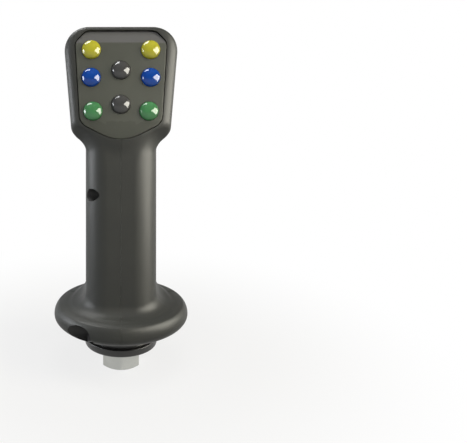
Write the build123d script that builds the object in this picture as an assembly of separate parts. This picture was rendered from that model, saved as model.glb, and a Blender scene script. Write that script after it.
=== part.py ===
from build123d import *
from math import cos, radians, sin, sqrt, tan
import os

os.makedirs("parts", exist_ok=True)

# Control grip for the lever of a machine, in millimetres.
# The origin is the mouth of the threaded hole, in the middle of the hexagon's lower face.
# +Z is up, -Y is the operator's side with the buttons, +Y is the trigger's side.

# Steel adapter
hex_across_flats = 22.0
hex_height = 13.7
hex_chamfer_angle = 30.0
shank_radius = 12.0
thread_bore_radius = 6.0          # minor diameter of M14 x 2
thread_depth = 20.0
cable_bore_radius = 5.0
clamp_across_flats = 30.0         # hexagon that the two shells hold from turning
clamp_seat = 3.5                  # plastic below the clamped hexagon
clamp_height = 6.0

# Boot collar
collar_radius = 22.0
collar_lower_ring = 4.8
collar_groove_width = 4.0
collar_groove_depth = 2.4
collar_groove_radius = 1.2
collar_upper_ring = 4.0
collar_edge_radius = 1.2

# Hand rest
flange_radius = 40.5
flange_thickness = 14.0
flange_wall = 3.5
flange_core_radius = 21.0         # solid middle round the adapter

# Column
column_width = 42.0
column_depth = 43.5               # square to its axis
column_lean = 15.0
column_foot_y = -0.5              # where the axis meets the top of the hand rest
column_top = 100.0                # end of the column's own form, inside the head
column_front_radius = 13.5
back_edge_radius = 8.5
flare_height = 12.2
flare_side = 12.2
flare_front = 9.2
flare_back = 10.6
flare_sections = 6
flare_overlap = 0.25              # the flare starts this far inside the column's skin
flare_sink = 3.0                  # and its foot reaches this far into the hand rest

# Head
face_tilt = 22.0
face_top_y = 28.2
face_top_z = 203.5
head_corner_x = 34.6              # sharp corner of the outline, before rounding
head_side_angle = 5.6
head_corner_radius = 11.8
cheek_foot_z = 136.0
cheek_angle = 50.0                # from the horizontal
cheek_foot_radius = 6.0
cheek_corner_radius = 12.0
chin_drop = 73.7                  # sharp tip of the chin line, below the top of the face
chin_angle = 28.9                 # of the chin lines, from the horizontal
chin_tip_radius = 27.0
chin_slope = 0.78                 # drop of the chin for each millimetre inwards
chin_lead = 2.0                   # the chin's cut starts this far in front of the face
facet_x = 26.5                    # where the slanting flat behind a cheek crosses the plane of the back,
facet_along = 127.9               # at this place along the column
facet_turn = 36.8                 # of the flat's direction, from sideways to the rear
facet_dip = 28.6                  # and down along the column
face_edge_radius = 2.5
wall = 3.0

# Faceplate, its groove and its seal
plate_top = 3.1                   # below the top of the face
plate_half_width = 26.9
plate_corner_cut = 7.0            # downwards
plate_corner_in = 6.3             # inwards
plate_side_angle = 3.6
plate_shoulder = 58.3
plate_tip = 70.5                  # sharp tip of the lower outline
plate_tip_radius = 24.0
plate_corner_radius = 3.0
plate_set_back = 0.3
plate_thickness = 2.6
plate_bend = 0.6                  # how far the top and bottom bands fall back
plate_band = 7.3                  # height of the upper band
plate_chin_line = 57.0            # where the lower band starts
plate_gap = 0.35                  # thin dark line round the plate
plate_rim = 1.6
rim_thickness = 1.3
rim_play = 0.05
gasket_thickness = 1.0
ledge_width = 1.5                 # seat of the seal, inside the plate's outline
ledge_thickness = 2.5

# Buttons
cap_radius = 5.6
cap_dome = 3.6
cap_play = 0.25
cap_flange_radius = 6.2
cap_flange_thickness = 1.2
cap_flange_gap = 0.3
cap_stem_radius = 1.8
cap_stem_play = 0.3
button_travel = 1.5
button_places = {
    "yellow_left": (-17.4, -14.5),
    "yellow_right": (17.4, -14.5),
    "blue_left": (-17.4, -31.1),
    "blue_right": (17.4, -31.1),
    "green_left": (-16.3, -51.2),
    "green_right": (16.3, -51.2),
    "grey_upper": (0.0, -26.8),
    "grey_lower": (0.0, -47.2),
}
switch_size = 6.6
switch_height = 4.5
switch_bore_depth = 2.6
stem_in_switch = 0.6              # how far a stem reaches into its switch at rest

# Circuit board
board_depth = 15.0                # front of the board, inwards from the face
board_thickness = 1.6
board_half_width = 26.5
board_top = 8.5
board_shoulder = 44.0
board_bottom = 57.0
board_bottom_half_width = 22.0
board_corner_radius = 1.5
post_rows = (-23.0, -41.0)
post_size = 6.0
post_inner_x = 22.0
board_screw_x = 24.5
board_screw_radius = 1.25
board_screw_head_radius = 2.2
board_screw_head_height = 1.6
board_screw_length = 8.0
board_screw_play = 0.2
connector_width = 14.0
connector_height = 6.0
connector_depth = 6.5
connector_row = -50.0
connector_wall = 1.0

# Trigger and its pod, measured along the column's axis and outwards from its back
pod_width = 21.4
pod_bottom = 101.4
pod_shelf = 125.6
pod_root = 133.4
pod_height = 11.0
pod_corner_radius = 4.5
pod_edge_radius = 1.6
trigger_along = 114.5
trigger_radius = 5.75
trigger_proud = 2.4
trigger_rim = 0.9
trigger_play = 0.3
trigger_lip = 6.0                 # length of the pod's hole that guides the trigger
trigger_flange_radius = 7.2
trigger_flange_thickness = 1.2
trigger_flange_gap = 0.3
trigger_travel = 2.0
trigger_stem_radius = 2.0
guide_radius = 9.0
guide_thickness = 3.0
guide_seat = 1.0                  # plastic behind the guide
trigger_switch_width = 12.0
trigger_switch_height = 8.0
trigger_switch_depth = 9.0
trigger_switch_gap = 1.6          # from the inside of the wall to the switch
trigger_switch_bore_depth = 3.0
trigger_switch_play = 0.5

# Shell screws: place across the grip (y, z), face under the head, radii
large_screw_radius = 2.5
large_head_radius = 4.25
large_head_height = 4.0
large_bore_radius = 5.2
small_screw_radius = 2.0
small_head_radius = 3.3
small_head_height = 3.2
small_bore_radius = 3.7
screw_tip_x = 8.0
insert_start_x = 1.0
insert_wall = 1.5
screw_hole_play = 0.3
boss_wall = 2.2
flange_screw_y = 31.3
flange_screw_seat_x = -15.0
corner_screw_inwards = 26.5       # from the face
corner_screw_drop = 7.4           # below the top of the face
corner_screw_seat_x = -19.0
mid_screw_z = 107.8
mid_screw_inset = 4.7             # behind the front of the column
mid_screw_seat_x = -9.0
neck_screw_along = 95.6
neck_screw_inset = 4.9            # from the back of the column
neck_screw_seat_x = -9.0

# Heights that follow from the stack
collar_height = collar_lower_ring + collar_groove_width + collar_upper_ring
flange_bottom = hex_height + collar_height
flange_top = flange_bottom + flange_thickness
flange_middle = flange_bottom + flange_thickness / 2
clamp_bottom = flange_bottom + clamp_seat
adapter_top = clamp_bottom + clamp_height

# Frames: the column's own, the face and the back
lean = radians(column_lean)
tilt = radians(face_tilt)
column_frame = Plane(
    origin=(0, column_foot_y, flange_top),
    x_dir=(1, 0, 0),
    z_dir=(0, sin(lean), cos(lean)),
)
face_frame = Plane(
    origin=(0, face_top_y, face_top_z),
    x_dir=(1, 0, 0),
    z_dir=(0, -cos(tilt), sin(tilt)),
)
back_frame = Plane(
    origin=column_frame.from_local_coords(Vector(0, column_depth / 2, 0)),
    x_dir=(-1, 0, 0),
    z_dir=(0, cos(lean), -sin(lean)),
)

# Room for cutting blocks that only have to be larger than the grip, how far a cut passes the
# face it starts from, and how far two bodies overlap that are joined
beyond = 300.0
passing = 1.0
overlap = 0.1

# Cylinders that stand on their lower end
on_base = (Align.CENTER, Align.CENTER, Align.MIN)

# The column starts below the top of the hand rest; the head and the chin are cut this deep
column_start = -column_depth / 2 * tan(lean) - passing
head_reach = 1.3 * column_depth
chin_depth = 0.75 * column_depth


def closed_outline(right_half):
    """Face from the right half of a mirrored outline, as (x, y, corner radius) from the top down."""
    left_half = [(-x, y, r) for x, y, r in reversed(right_half) if x > 0]
    corners = right_half + left_half
    points = [(x, y) for x, y, r in corners]
    radii = [r for x, y, r in corners]
    return make_face(FilletPolyline(*points, radius=radii, close=True))


def prism(frame, face, start, end):
    """Solid between two heights of a frame, start below end."""
    return extrude(frame * Pos(0, 0, start) * face, amount=end - start)


def rod(frame, x, y, start, end, radius):
    return prism(frame, Pos(x, y) * Circle(radius), start, end)


def side_rod(y, z, start, end, radius):
    """Cylinder along X, with its seam on top."""
    return prism(Plane.YZ, Pos(y, z) * Rot(0, 0, 90) * Circle(radius), start, end)


def column_prism(inset, start, end, back_radius):
    half_width = column_width / 2 - inset
    half_depth = column_depth / 2 - inset
    section = closed_outline([
        (half_width, half_depth, back_radius),
        (half_width, -half_depth, column_front_radius - inset),
    ])
    return prism(column_frame, section, start, end)


def chin_face(tip, reach):
    """Everything below the chin line, on the plane of the face."""
    rise = reach * tan(radians(chin_angle))
    return closed_outline([
        (0, tip, chin_tip_radius),
        (reach, tip + rise, 0),
        (reach, -beyond / 2, 0),
    ])


def is_side_corner(edge):
    """True for the two edges where the head's sides turn into the cheeks."""
    if edge.geom_type != GeomType.LINE:
        return False
    direction = edge % 0.5
    inwards = abs(direction.dot(face_frame.z_dir))
    level = abs(direction.Y)
    return 0.5 < inwards < 0.9999 and level < 0.9999


def head_block(inset, rounded):
    """Head without rounded edges: face outline, cheeks, back and chin, all moved in by the inset."""
    reach = head_corner_x + column_width / 2
    bottom = chin_drop + chin_depth / 3
    outline = closed_outline([
        (head_corner_x, 0, head_corner_radius),
        (head_corner_x - bottom * tan(radians(head_side_angle)), -bottom, 0),
    ])
    half_width = column_width / 2
    cheeks = closed_outline([
        (reach, beyond, 0),
        (reach, cheek_foot_z + (reach - half_width) * tan(radians(cheek_angle)), 0),
        (half_width, cheek_foot_z, cheek_foot_radius),
        (half_width, flange_top, 0),
    ])
    block = prism(face_frame, offset(outline, -inset), -head_reach, -inset)
    block &= extrude(Plane.XZ * offset(cheeks, -inset), amount=beyond / 2, both=True)
    if rounded:
        side_corners = [edge for edge in block.edges() if is_side_corner(edge)]
        block = fillet(side_corners, cheek_corner_radius)
        front = block.faces().sort_by(Axis(face_frame.origin, face_frame.z_dir))[-1]
        block = fillet(front.edges(), face_edge_radius)
    block &= back_frame * Pos(0, 0, -beyond / 2 - inset) * Box(beyond, 2 * beyond, beyond)
    chin_rise = inset / cos(radians(chin_angle)) * sqrt(1 + chin_slope**2)
    inwards = -face_frame.z_dir - face_frame.y_dir * chin_slope
    tip = chin_rise - chin_drop + chin_lead * chin_slope
    chin = extrude(
        face_frame * Pos(0, 0, chin_lead) * chin_face(tip, reach),
        amount=chin_depth,
        dir=inwards,
    )
    return block - chin


def cheek_facets(inset):
    """Room outside the slanting flats behind the cheeks, clear of the column."""
    turn = radians(facet_turn)
    dip = radians(facet_dip)
    core = column_prism(inset, column_start - passing, pod_root, back_edge_radius - inset)
    rooms = []
    for side in (1, -1):
        place = column_frame.from_local_coords(Vector(side * facet_x, column_depth / 2, facet_along))
        direction = Vector(side * cos(dip) * cos(turn), cos(dip) * sin(turn), -sin(dip))
        outwards = column_frame.from_local_coords(direction) - column_frame.origin
        room = Plane(origin=place, z_dir=outwards) * Pos(0, 0, beyond / 2 - inset) * Box(beyond, beyond, beyond)
        rooms.append(room - core)
    return rooms


def flare():
    """Foot of the column, growing into the top of the hand rest along a quarter arc."""
    half_width = column_width / 2
    half_depth = column_depth / 2 / cos(lean)
    sections = []
    for step in range(flare_sections):
        angle = radians(90 * step / (flare_sections - 1))
        height = flare_height * (1 - sin(angle))
        growth = 1 - cos(angle)
        middle = column_foot_y + height * tan(lean)
        side = half_width - flare_overlap + (flare_side + flare_overlap) * growth
        front = half_depth - flare_overlap + (flare_front + flare_overlap) * growth - middle
        back = half_depth - flare_overlap + (flare_back + flare_overlap) * growth + middle
        full_radius = min(side, (front + back) / 2) - flare_overlap
        front_radius = column_front_radius + (full_radius - column_front_radius) * growth
        back_radius = back_edge_radius + (full_radius - back_edge_radius) * growth
        outline = closed_outline([(side, back, back_radius), (side, -front, front_radius)])
        sections.append(Pos(0, 0, flange_top + height) * outline)
    foot = Pos(0, 0, -flare_sink) * extrude(sections[-1], amount=flare_sink)
    return loft(sections) + foot


def hand_rest():
    """Round rest with a full-round rim, not yet hollow."""
    rim = flange_thickness / 2
    flat = flange_radius - rim
    profile = Polyline((flat, flange_bottom), (0, flange_bottom), (0, flange_top), (flat, flange_top))
    profile += ThreePointArc((flat, flange_top), (flange_radius, flange_middle), (flat, flange_bottom))
    return revolve(Plane.XZ * make_face(profile), Axis.Z)


def pod():
    """Housing of the trigger on the back of the head."""
    half_width = pod_width / 2
    outline = closed_outline([
        (half_width, pod_root, 0),
        (half_width, pod_bottom, pod_corner_radius),
    ])
    block = prism(back_frame, outline, -2 * wall, pod_height)
    side = make_face(Polyline(
        (-2 * wall, pod_bottom - passing),
        (pod_height, pod_bottom - passing),
        (pod_height, pod_shelf),
        (0, pod_root),
        (-2 * wall, pod_root),
        close=True,
    ))
    across = Plane(origin=back_frame.origin, x_dir=back_frame.z_dir, z_dir=(1, 0, 0))
    block &= extrude(across * side, amount=pod_width, both=True)
    foot_height = pod_height / 3      # edges whose middle lies lower run along the pod's foot
    outer = [
        edge for edge in block.edges()
        if back_frame.to_local_coords(edge.center()).Z > foot_height
    ]
    return fillet(outer, pod_edge_radius)


def outer_body():
    """The whole casing as one solid body with its rounded edges."""
    body = head_block(0, True) + column_prism(0, column_start, column_top, 0)
    back_edges = [edge for edge in body.edges() if is_back_edge(edge)]
    body = fillet(back_edges, back_edge_radius) - cheek_facets(0)
    return body + flare() + hand_rest() + pod()


def is_back_edge(edge):
    """True for the edges that run round the flat back, except the one at its lower end."""
    ends = [back_frame.to_local_coords(edge @ place) for place in (0, 0.5, 1)]
    flat = all(abs(end.Z) < 1e-3 for end in ends)
    return flat and column_frame.to_local_coords(edge @ 0.5).Z > 0


def plate_outline(grow):
    """Outline of the faceplate, grown by a distance."""
    side_drop = plate_shoulder - plate_top - plate_corner_cut
    lower_x = plate_half_width - side_drop * tan(radians(plate_side_angle))
    outline = closed_outline([
        (plate_half_width - plate_corner_in, -plate_top, plate_corner_radius),
        (plate_half_width, -plate_top - plate_corner_cut, plate_corner_radius),
        (lower_x, -plate_shoulder, plate_corner_radius),
        (0, -plate_tip, plate_tip_radius),
    ])
    return offset(outline, grow) if grow else outline


# Depths of the faceplate's parts, inwards from the face
plate_back = plate_set_back + plate_thickness
rim_front = plate_back - rim_thickness
groove_front = rim_front - rim_play
gasket_back = plate_back + gasket_thickness
ledge_back = gasket_back + ledge_thickness
board_back = board_depth + board_thickness


def face_prism(outline, front, back):
    """Prism between two depths below the face."""
    return prism(face_frame, outline, -back, -front)


def cavity():
    """Hollow inside both shells, with the groove that holds the faceplate."""
    column_room_top = column_top - 4 * wall
    column = column_prism(wall, flange_wall, column_room_top, back_edge_radius - wall)
    head = head_block(wall, False) & face_prism(Rectangle(beyond, beyond), ledge_back, beyond)
    hollow = head - cheek_facets(wall) + column
    hollow += face_prism(plate_outline(plate_gap), -wall, groove_front + overlap)
    hollow += face_prism(plate_outline(plate_rim + plate_gap), groove_front, gasket_back)
    hollow += face_prism(plate_outline(-ledge_width), groove_front, ledge_back + overlap)
    bore_start = flange_bottom - passing
    bore_end = flange_top + flange_wall + passing
    hollow += Pos(0, 0, bore_start) * Cylinder(shank_radius, bore_end - bore_start, align=on_base)
    hollow += Pos(0, 0, clamp_bottom) * extrude(hexagon(clamp_across_flats), amount=clamp_height)
    rest = Polyline(
        (flange_core_radius, flange_bottom + flange_wall),
        (flange_radius - flange_thickness / 2, flange_bottom + flange_wall),
        (flange_radius - flange_wall, flange_middle),
        (flange_radius - flange_thickness / 2, flange_top - flange_wall),
        (flange_core_radius, flange_top - flange_wall),
        close=True,
    )
    return hollow + revolve(Plane.XZ * make_face(rest), Axis.Z)


def hexagon(across_flats):
    return RegularPolygon(radius=across_flats / sqrt(3), side_count=6)


def shell_screws():
    """Places of the five screws: y, z, seat of the head, size."""
    half_depth = column_depth / 2
    mid_along = (mid_screw_z - flange_top - (half_depth - mid_screw_inset) * sin(lean)) / cos(lean)
    mid = column_frame.from_local_coords(Vector(0, mid_screw_inset - half_depth, mid_along))
    neck = column_frame.from_local_coords(Vector(0, half_depth - neck_screw_inset, neck_screw_along))
    corner = face_frame.from_local_coords(Vector(0, -corner_screw_drop, -corner_screw_inwards))
    return [
        (-flange_screw_y, flange_middle, flange_screw_seat_x, "large"),
        (flange_screw_y, flange_middle, flange_screw_seat_x, "large"),
        (corner.Y, corner.Z, corner_screw_seat_x, "large"),
        (mid.Y, mid.Z, mid_screw_seat_x, "small"),
        (neck.Y, neck.Z, neck_screw_seat_x, "small"),
    ]


screw_sizes = {
    "large": (large_screw_radius, large_head_radius, large_head_height, large_bore_radius),
    "small": (small_screw_radius, small_head_radius, small_head_height, small_bore_radius),
}


def shell_screw(y, z, seat, size):
    """Cap screw with a hexagon socket, lying along X with its head on the left."""
    radius, head_radius, head_height, bore_radius = screw_sizes[size]
    screw = side_rod(y, z, seat - head_height, seat, head_radius)
    screw += side_rod(y, z, seat, screw_tip_x, radius)
    socket = Pos(seat - head_height, y, z) * Rot(0, 90, 0) * hexagon(head_radius)
    return screw - extrude(socket, amount=head_height / 2)


def insert(y, z, seat, size):
    """Threaded insert in the right shell."""
    radius = screw_sizes[size][0]
    sleeve = side_rod(y, z, insert_start_x, screw_tip_x, radius + insert_wall)
    return sleeve - side_rod(y, z, insert_start_x, screw_tip_x, radius)


def pillars():
    """Pillars round the screws, left standing in the hollow."""
    return [
        side_rod(y, z, -flange_radius, flange_radius, screw_sizes[size][3] + boss_wall)
        for y, z, seat, size in shell_screws()
    ]


def screw_holes():
    """Everything that the shell screws and their inserts need cut away."""
    holes = []
    for y, z, seat, size in shell_screws():
        radius, head_radius, head_height, bore_radius = screw_sizes[size]
        holes.append(side_rod(y, z, -beyond / 2, seat, bore_radius))
        holes.append(side_rod(y, z, seat, insert_start_x, radius + screw_hole_play))
        holes.append(side_rod(y, z, insert_start_x, screw_tip_x, radius + insert_wall))
        holes.append(side_rod(y, z, screw_tip_x, screw_tip_x + passing, radius + screw_hole_play))
    return holes


def board_posts():
    """Posts behind the ledge that the circuit board is screwed to."""
    posts = []
    for side in (-1, 1):
        for row in post_rows:
            outer_x = head_corner_x
            middle_x = side * (post_inner_x + outer_x) / 2
            block = Pos(middle_x, row) * Rectangle(outer_x - post_inner_x, post_size)
            posts.append(face_prism(block, gasket_back, board_depth))
    return posts


def board_screw_holes(radius, front, back):
    return [
        face_prism(Pos(side * board_screw_x, row) * Circle(radius), front, back)
        for side in (-1, 1)
        for row in post_rows
    ]


# Trigger's stack, outwards from the flat back
lip_inner = pod_height - trigger_lip
trigger_flange_top = lip_inner - trigger_flange_gap
trigger_flange_bottom = trigger_flange_top - trigger_flange_thickness
guide_top = trigger_flange_bottom - trigger_travel - trigger_flange_gap
guide_bottom = guide_top - guide_thickness
switch_top = guide_bottom - guide_seat - trigger_switch_gap
stem_end = switch_top - stem_in_switch


def trigger_rod(start, end, radius):
    return rod(back_frame, 0, trigger_along, start, end, radius)


def trigger_seat():
    """Ring that carries the guide bush and the cradle of the switch, left standing in the hollow."""
    ring = trigger_rod(guide_bottom - guide_seat, 0, guide_radius + wall)
    cradle = Pos(0, trigger_along) * Rectangle(column_width, trigger_switch_height)
    return [ring, prism(back_frame, cradle, switch_top - trigger_switch_depth, guide_bottom - guide_seat)]


def trigger_cuts():
    """Bore of the trigger, groove of its guide and pocket of its switch."""
    pocket_height = trigger_switch_height + 2 * trigger_switch_play
    pocket = Pos(0, trigger_along) * Rectangle(trigger_switch_width, pocket_height)
    return [
        trigger_rod(lip_inner, pod_height + passing, trigger_radius + trigger_play),
        trigger_rod(guide_top, lip_inner, trigger_flange_radius + trigger_play),
        trigger_rod(guide_bottom, guide_top, guide_radius),
        trigger_rod(guide_bottom - guide_seat, guide_bottom, trigger_radius),
        prism(back_frame, pocket, switch_top - trigger_switch_depth - passing, guide_bottom - guide_seat),
    ]


def shells():
    hollow = cavity() - pillars() - board_posts() - trigger_seat()
    casing = outer_body() - hollow - screw_holes() - trigger_cuts()
    board_hole_start = board_back - board_screw_length - passing
    casing -= board_screw_holes(board_screw_radius, board_hole_start, board_depth + passing)
    left_room = Pos(-beyond / 2, 0, 0) * Box(beyond, 2 * beyond, 2 * beyond)
    right_room = Pos(beyond / 2, 0, 0) * Box(beyond, 2 * beyond, 2 * beyond)
    return casing & left_room, casing & right_room


def faceplate():
    """Plate with a bent-back top and bottom band, eight holes and a rim that sits in the shells."""
    plate = face_prism(plate_outline(0), 0, plate_back)
    profile = Polyline(
        (0, -plate_set_back - plate_bend),
        (-plate_top - plate_band, -plate_set_back),
        (-plate_chin_line, -plate_set_back),
        (-plate_tip, -plate_set_back - plate_bend),
        (-plate_tip, -plate_back - passing),
        (0, -plate_back - passing),
        close=True,
    )
    across = Plane(origin=face_frame.origin, x_dir=face_frame.y_dir, z_dir=(1, 0, 0))
    plate &= extrude(across * make_face(profile), amount=column_width, both=True)
    plate += face_prism(plate_outline(plate_rim), rim_front, plate_back)
    plate -= [
        face_prism(Pos(x, y) * Circle(cap_radius + cap_play), -passing, plate_back + passing)
        for x, y in button_places.values()
    ]
    return plate


def gasket():
    ring = plate_outline(plate_rim) - plate_outline(-ledge_width)
    return face_prism(ring, plate_back, gasket_back)


def button_cap(x, y):
    """Domed cap with the flange that stops it behind the faceplate, and its stem."""
    flange_front = -plate_back - cap_flange_gap
    flange_back = flange_front - cap_flange_thickness
    tip = -(board_depth - switch_height + stem_in_switch)
    half = Polyline(
        (cap_radius, 0),
        (cap_radius, flange_front),
        (cap_flange_radius, flange_front),
        (cap_flange_radius, flange_back),
        (cap_stem_radius, flange_back),
        (cap_stem_radius, tip),
        (0, tip),
        (0, cap_dome),
    )
    rise = cap_dome * sin(radians(45))
    half += ThreePointArc((0, cap_dome), (cap_radius * cos(radians(45)), rise), (cap_radius, 0))
    turned = revolve(Plane.XZ * make_face(half), Axis.Z)
    return face_frame.location * Pos(x, y, -plate_set_back) * turned


def button_switch(x, y):
    """Switch on the circuit board, with the bore that takes the stem."""
    front = board_depth - switch_height
    body = face_prism(Pos(x, y) * Rectangle(switch_size, switch_size), front, board_depth)
    bore = Pos(x, y) * Circle(cap_stem_radius + cap_stem_play)
    return body - face_prism(bore, front - passing, front + switch_bore_depth)


def circuit_board():
    outline = closed_outline([
        (board_half_width, -board_top, board_corner_radius),
        (board_half_width, -board_shoulder, board_corner_radius),
        (board_bottom_half_width, -board_bottom, board_corner_radius),
    ])
    board = face_prism(outline, board_depth, board_back)
    hole_radius = board_screw_radius + board_screw_play
    return board - board_screw_holes(hole_radius, board_depth - passing, board_back + passing)


def board_screws():
    shanks = board_screw_holes(board_screw_radius, board_back - board_screw_length, board_back)
    heads = board_screw_holes(board_screw_head_radius, board_back, board_back + board_screw_head_height)
    return [shank + head for shank, head in zip(shanks, heads)]


def board_connector():
    """Open socket for the plug of the wiring harness."""
    place = Pos(0, connector_row)
    end = board_back + connector_depth
    body = face_prism(place * Rectangle(connector_width, connector_height), board_back, end)
    room = place * Rectangle(connector_width - 2 * connector_wall, connector_height - 2 * connector_wall)
    return body - face_prism(room, board_back + connector_wall, end + passing)


def trigger_button():
    """Flat round button with a rounded rim, the flange that stops it and its stem."""
    top = pod_height + trigger_proud
    half = make_face(FilletPolyline(
        (0, top),
        (trigger_radius, top),
        (trigger_radius, trigger_flange_top),
        (trigger_flange_radius, trigger_flange_top),
        (trigger_flange_radius, trigger_flange_bottom),
        (trigger_stem_radius, trigger_flange_bottom),
        (trigger_stem_radius, stem_end),
        (0, stem_end),
        radius=[0, trigger_rim, 0, 0, 0, 0, 0, 0],
        close=True,
    ))
    turned = revolve(Plane.XZ * half, Axis.Z)
    return back_frame.location * Pos(0, trigger_along, 0) * turned


def trigger_guide():
    bush = trigger_rod(guide_bottom, guide_top, guide_radius)
    return bush - trigger_rod(guide_bottom - passing, guide_top + passing, trigger_stem_radius + trigger_play)


def trigger_switch():
    section = Pos(0, trigger_along) * Rectangle(trigger_switch_width, trigger_switch_height)
    body = prism(back_frame, section, switch_top - trigger_switch_depth, switch_top)
    bore_floor = switch_top - trigger_switch_bore_depth
    return body - trigger_rod(bore_floor, switch_top + passing, trigger_stem_radius + trigger_play)


def boot_collar():
    """Ring round the adapter with a rounded groove for the edge of a boot."""
    ring = Pos(0, 0, hex_height) * Cylinder(collar_radius, collar_height, align=on_base)
    ring = fillet(ring.edges(), collar_edge_radius)
    groove_bottom = hex_height + collar_lower_ring
    groove_top = groove_bottom + collar_groove_width
    floor_radius = collar_radius - collar_groove_depth
    outside = collar_radius + collar_groove_width
    groove = make_face(FilletPolyline(
        (outside, groove_top),
        (floor_radius, groove_top),
        (floor_radius, groove_bottom),
        (outside, groove_bottom),
        radius=collar_groove_radius,
        close=True,
    ))
    ring -= revolve(Plane.XZ * groove, Axis.Z)
    return ring - Pos(0, 0, flange_bottom / 2) * Cylinder(shank_radius, 2 * flange_bottom)


def hex_adapter():
    """Steel adapter: chamfered hexagon, shank and the clamped hexagon, bored right through."""
    nut = extrude(hexagon(hex_across_flats), amount=hex_height)
    corner = hex_across_flats / sqrt(3)
    lift = (corner + passing - hex_across_flats / 2) * tan(radians(hex_chamfer_angle))
    cone = make_face(Polyline(
        (0, 0),
        (hex_across_flats / 2, 0),
        (corner + passing, lift),
        (corner + passing, hex_height),
        (0, hex_height),
        close=True,
    ))
    nut &= revolve(Plane.XZ * cone, Axis.Z)
    adapter = nut + Pos(0, 0, hex_height) * Cylinder(shank_radius, clamp_bottom - hex_height, align=on_base)
    adapter += Pos(0, 0, clamp_bottom) * extrude(hexagon(clamp_across_flats), amount=clamp_height)
    adapter -= Cylinder(thread_bore_radius, thread_depth, align=on_base)
    return adapter - Cylinder(cable_bore_radius, 2 * adapter_top, align=on_base)


def write(name, shape):
    export_step(shape, "parts/" + name + ".step")


left_shell, right_shell = shells()
write("left_shell", left_shell)
write("right_shell", right_shell)
write("faceplate", faceplate())
write("faceplate_gasket", gasket())
for name, (x, y) in button_places.items():
    write("button_" + name, button_cap(x, y))
    write("switch_" + name, button_switch(x, y))
write("circuit_board", circuit_board())
write("board_screws", Compound(children=board_screws()))
write("board_connector", board_connector())
write("trigger_button", trigger_button())
write("trigger_guide", trigger_guide())
write("trigger_switch", trigger_switch())
for size in screw_sizes:
    places = [screw for screw in shell_screws() if screw[3] == size]
    write(size + "_shell_screws", Compound(children=[shell_screw(*place) for place in places]))
    write(size + "_inserts", Compound(children=[insert(*place) for place in places]))
write("boot_collar", boot_collar())
write("hex_adapter", hex_adapter())
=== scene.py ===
from math import cos, pi, radians, sin, sqrt, tan

import bmesh
import bpy
import numpy as np
from mathutils import Matrix, Vector


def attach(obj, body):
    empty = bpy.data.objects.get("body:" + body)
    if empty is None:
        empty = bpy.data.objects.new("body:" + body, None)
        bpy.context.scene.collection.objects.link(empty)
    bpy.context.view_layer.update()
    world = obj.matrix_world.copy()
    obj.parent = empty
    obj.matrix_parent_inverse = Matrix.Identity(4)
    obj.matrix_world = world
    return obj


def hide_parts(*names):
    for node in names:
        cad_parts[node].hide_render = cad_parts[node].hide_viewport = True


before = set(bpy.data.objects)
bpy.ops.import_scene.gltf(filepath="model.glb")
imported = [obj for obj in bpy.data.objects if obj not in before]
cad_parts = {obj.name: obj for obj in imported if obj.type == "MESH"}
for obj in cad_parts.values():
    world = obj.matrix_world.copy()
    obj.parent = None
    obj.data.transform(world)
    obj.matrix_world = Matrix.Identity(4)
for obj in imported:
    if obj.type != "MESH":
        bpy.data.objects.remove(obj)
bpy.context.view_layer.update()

millimetre = 0.001

print("frame loaded")


# Frames of the grip, in millimetres: the column leans back, and the face tilts back further

gripFrames = {
    "lean": 15.0,              # degrees, the column from the vertical
    "tilt": 22.0,              # degrees, the face from the vertical
    "foot": (-0.5, 40.5),      # y and z where the column's axis meets the hand rest
    "faceTop": (28.2, 203.5),  # y and z of the top of the face
    "backDepth": 21.75,        # from the column's axis to the flat back
}

leanCos = cos(radians(gripFrames["lean"]))
leanSin = sin(radians(gripFrames["lean"]))
tiltCos = cos(radians(gripFrames["tilt"]))
tiltSin = sin(radians(gripFrames["tilt"]))


def frameMatrix(xAxis, yAxis, place):
    # matrix of a frame from two of its axes and its origin, all in millimetres
    first = Vector(xAxis).normalized()
    second = Vector(yAxis).normalized()
    third = first.cross(second)
    matrix = Matrix((first, second, third)).transposed().to_4x4()
    matrix.translation = Vector(place)
    return matrix


uprightFrame = Matrix.Identity(4)
faceFrame = frameMatrix((1, 0, 0), (0, tiltSin, tiltCos), (0, *gripFrames["faceTop"]))
backFrame = frameMatrix(
    (-1, 0, 0),
    (0, leanSin, leanCos),
    (
        0,
        gripFrames["foot"][0] + gripFrames["backDepth"] * leanCos,
        gripFrames["foot"][1] - gripFrames["backDepth"] * leanSin,
    ),
)
sideFrame = frameMatrix((0, 1, 0), (0, 0, 1), (0, 0, 0))       # its z axis is the grip's x axis


# Small helpers for meshes

def linearColour(code):
    # sRGB hex to the linear values that the shaders take
    channels = [int(code[i:i + 2], 16) / 255 for i in (1, 3, 5)]
    return [c / 12.92 if c <= 0.04045 else ((c + 0.055) / 1.055) ** 2.4 for c in channels] + [1.0]


def gridFaces(rows, columns):
    # four-sided faces between neighbouring rows and columns, the columns joined round
    row, column = np.meshgrid(np.arange(rows - 1), np.arange(columns), indexing="ij")
    after = (column + 1) % columns
    low = row * columns
    high = low + columns
    faces = np.stack([low + column, low + after, high + after, high + column], axis=-1)
    return faces.reshape(-1, 4).tolist()


def meshObject(name, points, faces, matrix=uprightFrame, weld=True):
    # points are (n, 3) in millimetres in the given frame; the object itself stays at the origin
    turn = np.array(matrix, float)
    placed = (points @ turn[:3, :3].T + turn[:3, 3]) * millimetre
    mesh = bpy.data.meshes.new(name)
    mesh.from_pydata(placed.tolist(), [], faces)
    tidy = bmesh.new()
    tidy.from_mesh(mesh)
    if weld:        # the rows that meet at a pole or at a seam, in metres
        bmesh.ops.remove_doubles(tidy, verts=tidy.verts, dist=2e-6)
        bmesh.ops.dissolve_degenerate(tidy, edges=tidy.edges, dist=1e-7)
    bmesh.ops.recalc_face_normals(tidy, faces=tidy.faces)
    tidy.to_mesh(mesh)
    tidy.free()
    piece = bpy.data.objects.new(name, mesh)
    bpy.context.scene.collection.objects.link(piece)
    return piece


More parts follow.
